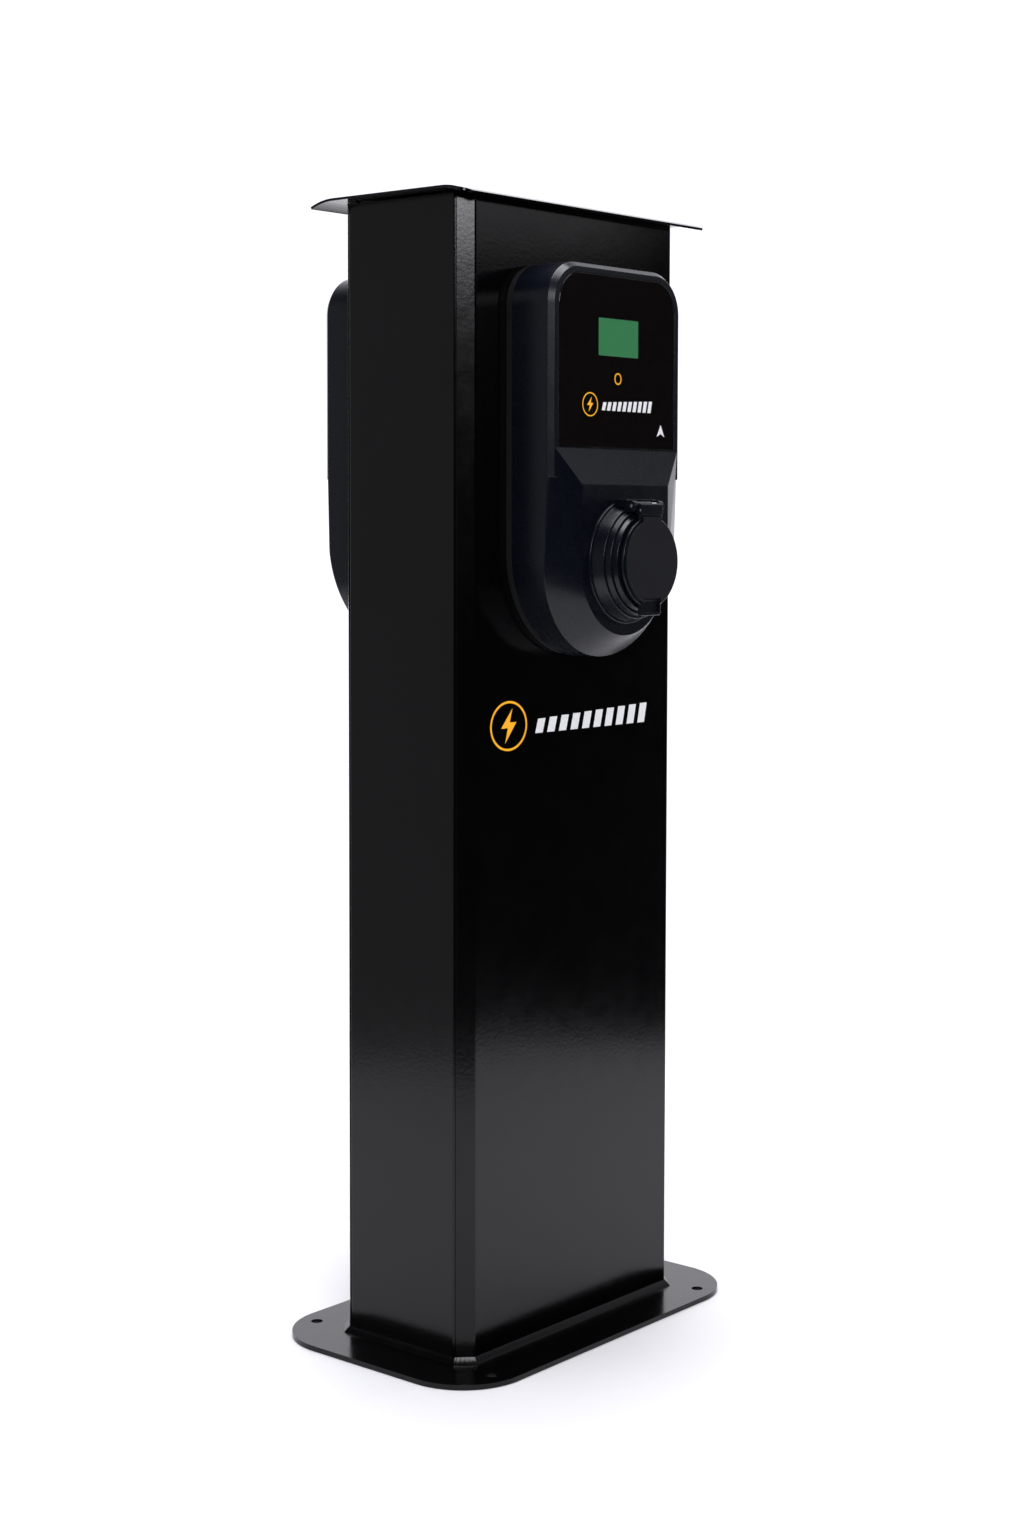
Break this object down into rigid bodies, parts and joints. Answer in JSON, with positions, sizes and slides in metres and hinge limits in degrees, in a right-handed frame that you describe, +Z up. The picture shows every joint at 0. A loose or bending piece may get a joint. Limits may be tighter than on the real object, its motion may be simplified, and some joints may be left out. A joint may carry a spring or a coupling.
{
  "type": "ev charging post",
  "caption": "Free-standing folded steel charging post with a charger, a sprung socket lid and a display on each wide face.",
  "frame": {"origin": "centre of the floor plate's underside", "axes": "+Z up the column, the front charger faces -Y, the wide faces run along X"},
  "size_m": [0.53, 0.44, 1.35],
  "materials": {
    "black_coat": "semi-gloss powder coat with fine orange peel",
    "shell": "satin moulded plastic",
    "black_plastic": "matt",
    "dark_glass": "gloss black window panel",
    "green_display": "green liquid crystal display",
    "grey_plastic": "satin",
    "circuit_board": "solder resist",
    "steel": "zinc plated",
    "brass": "plain",
    "rubber": "matt"
  },
  "bodies": {
    "post": {"base_plate": "black_coat", "foot_weld": "black_coat", "cap_plate": "black_coat", "front_panel": "black_coat", "rear_panel": "black_coat", "left_panel": "black_coat", "right_panel": "black_coat", "access_screw_1": "steel", "access_screw_2": "steel", "access_screw_3": "steel", "access_screw_4": "steel", "backboard": "steel", "mounting_rail": "steel", "front_cap_rail": "steel", "rear_cap_rail": "steel", "terminal_block": "grey_plastic", "front_breaker": "grey_plastic", "rear_breaker": "grey_plastic", "earth_bar": "brass", "front_charger_lead": "rubber", "rear_charger_lead": "rubber", "front_back_plate": "black_plastic", "front_cover": "shell", "front_tray": "black_plastic", "front_glass": "dark_glass", "front_display": "green_display", "front_control_board": "circuit_board", "front_contactor": "grey_plastic", "front_socket": "black_plastic", "front_contact_block": "black_plastic", "front_collar": "shell", "front_lid_seal": "rubber", "front_hinge_bracket": "shell", "front_hinge_pin": "steel", "front_lid_spring": "steel", "front_lock_actuator": "black_plastic", "front_cable_gland": "black_plastic", "rear_back_plate": "black_plastic", "rear_cover": "shell", "rear_tray": "black_plastic", "rear_glass": "dark_glass", "rear_display": "green_display", "rear_control_board": "circuit_board", "rear_contactor": "grey_plastic", "rear_socket": "black_plastic", "rear_contact_block": "black_plastic", "rear_collar": "shell", "rear_lid_seal": "rubber", "rear_hinge_bracket": "shell", "rear_hinge_pin": "steel", "rear_lid_spring": "steel", "rear_lock_actuator": "black_plastic", "rear_cable_gland": "black_plastic"},
    "front_lid": {"front_lid": "shell"},
    "rear_lid": {"rear_lid": "shell"},
    "front_lock_pin": {"front_lock_pin": "steel"},
    "rear_lock_pin": {"rear_lock_pin": "steel"},
    "front_breaker_toggle": {"front_breaker_toggle": "black_plastic"},
    "rear_breaker_toggle": {"rear_breaker_toggle": "black_plastic"}
  },
  "joints": [
    {"name": "front_lid_hinge", "type": "hinge", "parent": "post", "child": "front_lid", "pos_m": [-0.01, -0.209, 0.9945], "axis": [-1, 0, 0], "range_deg": [0, 110], "stiffness_Nm_per_rad": 0.05, "springref_deg": -57.3},
    {"name": "front_lock_slide", "type": "slide", "parent": "post", "child": "front_lock_pin", "axis": [0, 0, -1], "range_m": [0, 0.007], "stiffness_N_per_m": 60, "springref_m": -0.004},
    {"name": "front_breaker_switch", "type": "hinge", "parent": "post", "child": "front_breaker_toggle", "pos_m": [-0.064, -0.042, 0.462], "axis": [1, 0, 0], "range_deg": [0, 60]},
    {"name": "rear_lid_hinge", "type": "hinge", "parent": "post", "child": "rear_lid", "pos_m": [-0.032, 0.209, 0.9945], "axis": [1, 0, 0], "range_deg": [0, 110], "stiffness_Nm_per_rad": 0.05, "springref_deg": -57.3},
    {"name": "rear_lock_slide", "type": "slide", "parent": "post", "child": "rear_lock_pin", "axis": [0, 0, -1], "range_m": [0, 0.007], "stiffness_N_per_m": 60, "springref_m": -0.004},
    {"name": "rear_breaker_switch", "type": "hinge", "parent": "post", "child": "rear_breaker_toggle", "pos_m": [0.064, -0.042, 0.462], "axis": [1, 0, 0], "range_deg": [0, 60]}
  ]
}
